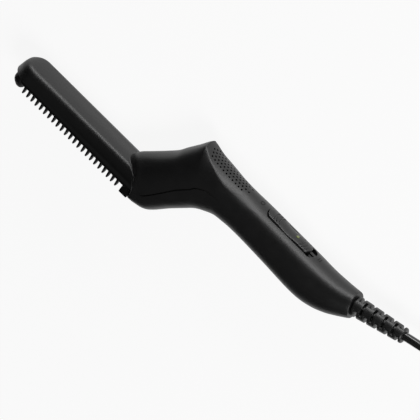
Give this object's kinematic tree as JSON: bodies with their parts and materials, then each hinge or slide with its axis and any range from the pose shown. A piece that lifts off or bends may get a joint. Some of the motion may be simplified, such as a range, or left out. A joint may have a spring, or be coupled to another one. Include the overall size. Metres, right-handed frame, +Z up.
{
  "type": "hair_straightener_comb",
  "caption": "Heated comb for straightening hair or a beard: slim comb head with a toothed guard, inclined neck, vented elbow, handle with a slide switch, ribbed strain relief and mains cord.",
  "frame": {"origin": "under the middle of the comb's box, without its cord, on the surface that it lies on", "axes": "X along the comb from the head's tip to the cord, Y towards its back, Z up through its width"},
  "size_m": [0.5503, 0.0764, 0.0257],
  "materials": {
    "soft_black": "soft-touch black casing",
    "guard_black": "moulded heat-proof nylon",
    "switch_black": "satin moulded plastic",
    "comb_metal": "bare aluminium",
    "ceramic": "ceramic and mica",
    "steel": "zinc-plated steel",
    "lead_rubber": "silicone insulation",
    "lens_clear": "tinted clear plastic",
    "inner_plastic": "plain moulded plastic",
    "board_green": "coated circuit board",
    "cord_black": "smooth glossy cord sheath",
    "relief_black": "flexible black moulding",
    "plug_black": "moulded plug",
    "pin_metal": "nickel-plated brass"
  },
  "bodies": {
    "root": {"back_shell": "soft_black", "front_shell": "soft_black", "comb_guard": "guard_black", "heating_comb": "comb_metal", "ptc_heater": "ceramic", "mica_sheet": "ceramic", "heater_spring": "steel", "thermal_fuse": "steel", "temperature_sensor": "ceramic", "heater_leads": "lead_rubber", "sensor_leads": "lead_rubber", "slide_switch": "inner_plastic", "indicator_led": "lens_clear", "control_board": "board_green", "film_capacitor": "inner_plastic", "power_triac": "inner_plastic", "board_screws": "steel", "mains_leads": "lead_rubber", "cord_clamp": "inner_plastic", "clamp_screws": "steel", "housing_screws": "steel", "cord_tail": "cord_black", "strain_relief": "relief_black", "power_cord": "cord_black", "cord_hank": "cord_black", "hank_tie": "relief_black", "plug_relief": "relief_black", "plug_body": "plug_black", "plug_pins": "pin_metal"},
    "switch_slider": {"switch_cap": "switch_black", "indicator_lens": "lens_clear", "switch_lever": "inner_plastic"}
  },
  "joints": [
    {"name": "switch_slide", "type": "slide", "parent": "root", "child": "switch_slider", "axis": [1, 0, 0], "range_m": [0, 0.0038]}
  ]
}
